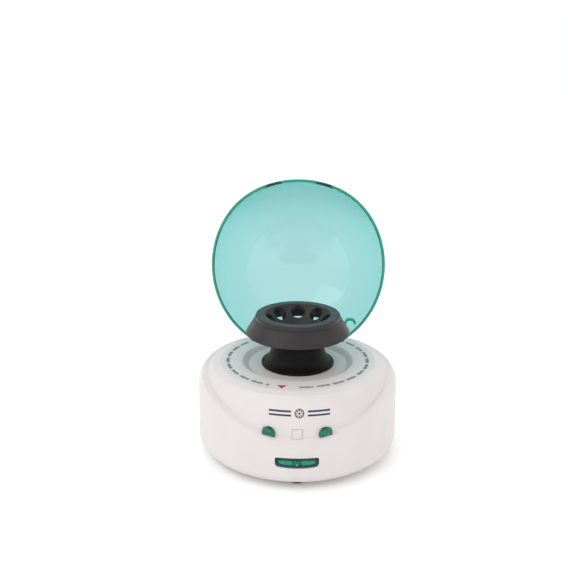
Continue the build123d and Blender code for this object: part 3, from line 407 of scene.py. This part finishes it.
# ---------------------------------------------------------------- latch and button
# The latch plate with its two catches and the release button are clear green plastic,
# polished. The button is one long smile with a raised rim, two raised pads and a stud.
catch_green, catch_shader, catch_tree = material("catch_green", (0.003, 0.13, 0.085), 0.14)
mottle(catch_tree, catch_shader, "Base Color", 300.0, (0.002, 0.085, 0.055), (0.006, 0.20, 0.13))
catch_shader.inputs["Coat Weight"].default_value = 0.25
catch_shader.inputs["Specular IOR Level"].default_value = 0.25
catch_shader.inputs["Coat Roughness"].default_value = 0.04
rim_green, rim_shader, rim_tree = material("rim_green", (0.002, 0.055, 0.040), 0.18)
mottle(rim_tree, rim_shader, "Base Color", 500.0, (0.001, 0.040, 0.030), (0.003, 0.075, 0.055))
rim_shader.inputs["Coat Weight"].default_value = 0.15
rim_shader.inputs["Specular IOR Level"].default_value = 0.2
pad_green, pad_shader, pad_tree = material("pad_green", (0.005, 0.22, 0.15), 0.12)
mottle(pad_tree, pad_shader, "Base Color", 600.0, (0.003, 0.17, 0.115), (0.010, 0.27, 0.19))
pad_shader.inputs["Coat Weight"].default_value = 0.3
pad_shader.inputs["Specular IOR Level"].default_value = 0.25
stud_green, stud_shader, stud_tree = material("stud_green", (0.10, 0.55, 0.45), 0.15)
mottle(stud_tree, stud_shader, "Base Color", 900.0, (0.06, 0.45, 0.36), (0.16, 0.62, 0.52))
wear("latch_yoke", finish=rim_green)


def outline_of(centre_x, half_x, low_z, high_z, squareness, lean=0.0, sides=72):
    """A rounded outline, anticlockwise from the front: a superellipse between two curves.

    low_z and high_z give the lower and upper edge at a given x. lean tips the outline, in
    height per sideways distance from its centre.
    """
    turn = (np.arange(sides) + 0.5) * 2 * math.pi / sides
    power = np.where(np.sin(turn) > 0, squareness[0], squareness[1])
    across_part = np.sign(np.cos(turn)) * np.abs(np.cos(turn)) ** (2 / power)
    up_part = np.sign(np.sin(turn)) * np.abs(np.sin(turn)) ** (2 / power)
    x = centre_x + half_x * across_part
    middle = (low_z(x) + high_z(x)) / 2
    half_z = (high_z(x) - low_z(x)) / 2
    return np.stack([x, middle + half_z * up_part + lean * (x - centre_x)], axis=1)


def faced_plate(name, outline, face_r, steps, crown, back_y, finish):
    """A plate behind a round face: its outline is carried in by each (inset, sink) step.

    The front lies on a circle of face_r about the rotor axis, sunk by each step's sink, and
    swells by crown towards its middle with the square of the distance left. Its back is flat.
    """
    tangent = np.roll(outline, -1, axis=0) - np.roll(outline, 1, axis=0)
    tangent /= np.linalg.norm(tangent, axis=1, keepdims=True)
    inward = np.stack([-tangent[:, 1], tangent[:, 0]], axis=1)
    middle = outline.mean(axis=0)
    rings = [np.stack([outline[:, 0], np.full(len(outline), back_y), outline[:, 1]], axis=1)]
    for inset, sink in steps:
        flat = outline + inset * inward
        rings.append(np.stack([flat[:, 0], sink - np.sqrt(face_r**2 - flat[:, 0] ** 2), flat[:, 1]], axis=1))
    last, last_sink = outline + steps[-1][0] * inward, steps[-1][1]
    for share in np.linspace(0.9, 0.05, 10):
        flat = middle + share * (last - middle)
        front = last_sink - np.sqrt(face_r**2 - flat[:, 0] ** 2) - crown * (1 - share**2)
        rings.append(np.stack([flat[:, 0], front, flat[:, 1]], axis=1))
    hub = np.array([[middle[0], last_sink - math.sqrt(face_r**2 - middle[0] ** 2) - crown, middle[1]]])
    back_hub = np.array([[middle[0], back_y, middle[1]]])
    sides = len(outline)
    here = np.arange(sides)
    after = (here + 1) % sides
    faces = []
    for k in range(len(rings) - 1):
        low, high = k * sides, (k + 1) * sides
        faces += np.stack([here + low, after + low, after + high, here + high], axis=1).tolist()
    end = (len(rings) - 1) * sides
    hub_index = len(rings) * sides
    faces += np.stack([here + end, after + end, np.full(sides, hub_index)], axis=1).tolist()
    faces += np.stack([after, here, np.full(sides, hub_index + 1)], axis=1).tolist()
    return link_mesh(name, np.concatenate([*rings, hub, back_hub]), faces, finish)


CATCH_X = 0.0199
CATCH_HALF = 0.0044
CATCH_LOW_Z = 0.0428
CATCH_HIGH_Z = 0.0492
CATCH_LEAN = 0.11
CATCH_FACE_R = 0.0760
for side, side_name in ((-1, "left"), (1, "right")):
    catch_outline = outline_of(
        side * CATCH_X, CATCH_HALF, lambda x: CATCH_LOW_Z + 0.0006 + 0 * x, lambda x: CATCH_HIGH_Z + 0 * x,
        (2.0, 4.5), lean=side * CATCH_LEAN,
    )
    catch = faced_plate(
        f"catch_{side_name}", catch_outline, CATCH_FACE_R,
        [(0.0, 0.0006), (0.00010, 0.0002), (0.0003, 0.0)], 0.00025, -0.0680, catch_green,
    )
    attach(catch, "latch")

BUTTON_TOP_Z = 0.0271
BUTTON_SMILE_Z = 0.0201
BUTTON_RISE = 4.3
BUTTON_FACE_R = 0.0773
BUTTON_BACK_Y = -0.0660
button_outline = outline_of(
    0.0, 0.0149, lambda x: BUTTON_SMILE_Z + BUTTON_RISE * x**2, lambda x: BUTTON_TOP_Z + 0 * x, (7.0, 5.0)
)
button = faced_plate(
    "button_body", button_outline, BUTTON_FACE_R,
    [(0.0, 0.0004), (0.00015, 0.0001), (0.0004, 0.0), (0.0008, 0.0001), (0.0011, 0.0006)],
    0.0, BUTTON_BACK_Y, rim_green,
)
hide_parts("release_button")
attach(button, "latch")
for centre_x, half_x, finish, pad_name in (
    (-0.0079, 0.0050, pad_green, "button_pad_left"),
    (0.0079, 0.0050, pad_green, "button_pad_right"),
    (0.0, 0.0022, catch_green, "button_pad_middle"),
):
    pad_outline = outline_of(
        centre_x, half_x, lambda x: BUTTON_SMILE_Z + BUTTON_RISE * x**2 + 0.0016,
        lambda x: BUTTON_TOP_Z - 0.0017 + 0 * x, (4.0, 4.0), sides=48,
    )
    pad = faced_plate(
        pad_name, pad_outline, BUTTON_FACE_R - 0.0004, [(0.0, 0.0002), (0.0002, 0.0), (0.0005, -0.00005)],
        0.00015, -0.0720, finish,
    )
    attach(pad, "latch")
stud_outline = disc(0.0, 0.0222, 0.0006, 24)
stud = faced_plate(
    "button_stud", stud_outline, BUTTON_FACE_R - 0.0002, [(0.0, 0.0001)], 0.0002, -0.0720, stud_green
)
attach(stud, "latch")

# ---------------------------------------------------------------- lid
# The dome is one moulding of clear turquoise polycarbonate, 1.9 mm thick, with shallow
# pockets for the catches. Its rounded rim is green with a painted glow: the rim emits light
# of its own, standing in for light that runs inside the wall.
LID_R = 0.0773
LID_WALL_Z = 0.038
LID_RISE = 0.083
LID_T = 0.0019
LID_OPEN = math.radians(93.0)
HINGE_Y = 0.060
HINGE_Z = 0.062
SEAM_FRONT_Y = -0.084
SEAM_TOP_Z = 0.07633
SEAM_DROP = 0.04445
SEAM_BEND = 0.0379
SEAM_FALL = 0.0499
SEAM_HALF_GAP = 0.00015
LID_AROUND = 240
LID_UP = 81
END_ROW = 0.002
RIM_HALF_T = 0.00103
RIM_HALF_LENGTH = 0.00105
RIM_SIDES = 16
POCKET_X = (0.0132, 0.0268)
POCKET_Z = (0.0385, 0.0522)
POCKET_SOFT = 0.0012
POCKET_DEPTH = 0.80


def clear_plastic(name, passed, density, shade, roughness):
    """Clear plastic that darkens with depth. shade is the tint of the light it lets by."""
    made, shader, tree = material(name, (0.80, 0.60, 0.645), roughness)
    shader.inputs["Transmission Weight"].default_value = 1.0
    shader.inputs["IOR"].default_value = 1.45
    output = tree.nodes["Material Output"]
    depth = tree.nodes.new("ShaderNodeVolumeAbsorption")
    depth.inputs["Color"].default_value = (*passed, 1.0)
    depth.inputs["Density"].default_value = density
    tree.links.new(depth.outputs["Volume"], output.inputs["Volume"])
    path = tree.nodes.new("ShaderNodeLightPath")
    tint = tree.nodes.new("ShaderNodeBsdfTransparent")
    tint.inputs["Color"].default_value = (*shade, 1.0)
    mix = tree.nodes.new("ShaderNodeMixShader")
    tree.links.new(path.outputs["Is Shadow Ray"], mix.inputs["Fac"])
    tree.links.new(shader.outputs["BSDF"], mix.inputs[1])
    tree.links.new(tint.outputs["BSDF"], mix.inputs[2])
    tree.links.new(mix.outputs["Shader"], output.inputs["Surface"])
    return made


lid_clear = clear_plastic("lid_clear", (0.0, 0.93, 0.86), 480.0, (0.36, 0.94, 0.94), 0.03)


def seam_height(y):
    """The seam's height at y: it falls to the front as an exponential, plus a slow slope."""
    back = y - SEAM_FRONT_Y
    return SEAM_TOP_Z - SEAM_DROP * np.exp(-back / SEAM_BEND) - SEAM_FALL * back


def meridian(around, up):
    """The dome's outer skin: the point at these two angles, and its outward normal there."""
    def turned(r, z):
        return np.stack([r * np.cos(around), r * np.sin(around), z], axis=-1)

    point = turned(LID_R * np.cos(up), LID_WALL_Z + LID_RISE * np.sin(up))
    normal = turned(np.cos(up) / LID_R, np.sin(up) / LID_RISE)
    normal /= np.linalg.norm(normal, axis=-1, keepdims=True)
    return point, normal


def seam_angle(around, depth):
    """Where each meridian meets the seam, at a depth in the wall, by halving 40 times."""
    low = np.zeros_like(around)
    high = np.full_like(around, 1.2)
    for _ in range(40):
        middle = (low + high) / 2
        point, normal = meridian(around, middle)
        point = point - normal * depth
        above = point[..., 2] > seam_height(point[..., 1]) + SEAM_HALF_GAP
        high = np.where(above, middle, high)
        low = np.where(above, low, middle)
    return high


def lid_opened(points):
    """Turns closed lid points about the hinge pin to where the lid stands open."""
    y = points[..., 1] - HINGE_Y
    z = points[..., 2] - HINGE_Z
    cosine, sine = math.cos(LID_OPEN), math.sin(LID_OPEN)
    turned = [points[..., 0], HINGE_Y + cosine * y + sine * z, HINGE_Z - sine * y + cosine * z]
    return np.stack(turned, axis=-1)


def ease(value, low, high, soft):
    """1 between low and high, 0 outside, with soft edges of the given width."""
    rise = np.clip((value - low) / soft, 0, 1) * np.clip((high - value) / soft, 0, 1)
    return rise * rise * (3 - 2 * rise)


around_line = np.arange(LID_AROUND) * 2 * math.pi / LID_AROUND
# The first row is a narrow one, hidden in the rim, so that the wall's normals aren't bent
# by its end face where they show.
share = np.insert(np.arange(LID_UP - 1) / (LID_UP - 1), 1, END_ROW)[None, :]
around_grid = np.repeat(around_line[:, None], LID_UP, axis=1)


def dome_grid(depth):
    """Points and normals of the dome's outer face, from over the rim up to its top.

    The lowest row stands where the wall at the given depth is clear of the seam.
    """
    start = seam_angle(around_line, depth) + RIM_HALF_LENGTH / LID_RISE
    return meridian(around_grid, start[:, None] * (1 - share) + (math.pi / 2) * share)


outer, _ = dome_grid(0.0)
over_inner, inner_normal = dome_grid(LID_T)
pocket = POCKET_DEPTH * ease(np.abs(over_inner[..., 0]), *POCKET_X, POCKET_SOFT)
pocket *= ease(over_inner[..., 2], *POCKET_Z, POCKET_SOFT) * (over_inner[..., 1] < 0)
inner = over_inner - inner_normal * (LID_T * (1 - pocket))[..., None]
outer_top = np.array([[0.0, 0.0, LID_WALL_Z + LID_RISE]])
inner_top = np.array([[0.0, 0.0, LID_WALL_Z + LID_RISE - LID_T]])
count = LID_AROUND * LID_UP
grid = np.arange(count).reshape(LID_AROUND, LID_UP)
beside = np.roll(grid, -1, axis=0)


def quads(a, b, c, d):
    """Faces from four index arrays of one shape."""
    return np.stack([a, b, c, d], axis=-1).reshape(-1, 4).tolist()


outer_faces = quads(grid[:, :-1], beside[:, :-1], beside[:, 1:], grid[:, 1:])
inner_faces = quads(grid[:, 1:] + count, beside[:, 1:] + count, beside[:, :-1] + count, grid[:, :-1] + count)
edge_faces = quads(grid[:, 0] + count, beside[:, 0] + count, beside[:, 0], grid[:, 0])
outer_cap = np.stack([grid[:, -1], beside[:, -1], np.full(LID_AROUND, 2 * count)], axis=1).tolist()
inner_pole = np.full(LID_AROUND, 2 * count + 1)
inner_cap = np.stack([beside[:, -1] + count, grid[:, -1] + count, inner_pole], axis=1)
dome_points = np.concatenate([outer.reshape(-1, 3), inner.reshape(-1, 3), outer_top, inner_top])
dome = link_mesh(
    "lid_shell", lid_opened(dome_points),
    [*outer_faces, *inner_faces, *edge_faces, *outer_cap, *inner_cap.tolist()], lid_clear,
)
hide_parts("lid_dome")
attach(dome, "lid")

edge_green_painted_glow, edge_glow_shader, edge_tree = material("edge_green_painted_glow", (0.004, 0.19, 0.11), 0.22)
mottle(edge_tree, edge_glow_shader, "Base Color", 60.0, (0.003, 0.16, 0.09), (0.006, 0.22, 0.13))
# Painted glow: the rim's green emits light of its own, as if light carried along inside the wall came out
# there.
edge_glow_shader.inputs["Emission Color"].default_value = (0.004, 0.15, 0.085, 1.0)
edge_glow_shader.inputs["Emission Strength"].default_value = 0.8
edge_glow_shader.inputs["Coat Weight"].default_value = 0.5
rim_around = np.arange(2 * LID_AROUND) * math.pi / LID_AROUND
rim_point, rim_normal = meridian(rim_around, seam_angle(rim_around, LID_T / 2))
rim_turn = np.arange(RIM_SIDES) * 2 * math.pi / RIM_SIDES
rim_out = np.sign(np.cos(rim_turn)) * np.abs(np.cos(rim_turn)) ** 0.6 * RIM_HALF_T
rim_up = np.sign(np.sin(rim_turn)) * np.abs(np.sin(rim_turn)) ** 0.6 * RIM_HALF_LENGTH
rim_pocket = POCKET_DEPTH * ease(np.abs(rim_point[:, 0]), *POCKET_X, POCKET_SOFT) * (rim_point[:, 1] < 0)
rim_depth = LID_T / 2 - rim_out[None, :]
rim_depth = np.where(rim_depth > 0, rim_depth * (1 - rim_pocket[:, None]), rim_depth)
rim_points = rim_point[:, None, :] - rim_normal[:, None, :] * rim_depth[..., None]
rim_points[..., 2] = seam_height(rim_points[..., 1]) + SEAM_HALF_GAP + RIM_HALF_LENGTH + rim_up[None, :]
rim_grid = np.arange(rim_points.shape[0] * RIM_SIDES).reshape(-1, RIM_SIDES)
rim_next = np.roll(rim_grid, -1, axis=0)
rim_faces = quads(rim_grid, rim_next, np.roll(rim_next, -1, axis=1), np.roll(rim_grid, -1, axis=1))
rim = link_mesh("lid_rim", lid_opened(rim_points), rim_faces, edge_green_painted_glow)
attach(rim, "lid")
# The loop gets the same green, with the same painted glow.
wear("lid_loop", finish=edge_green_painted_glow)
wear("lid_hinge_arms", finish=lid_clear)
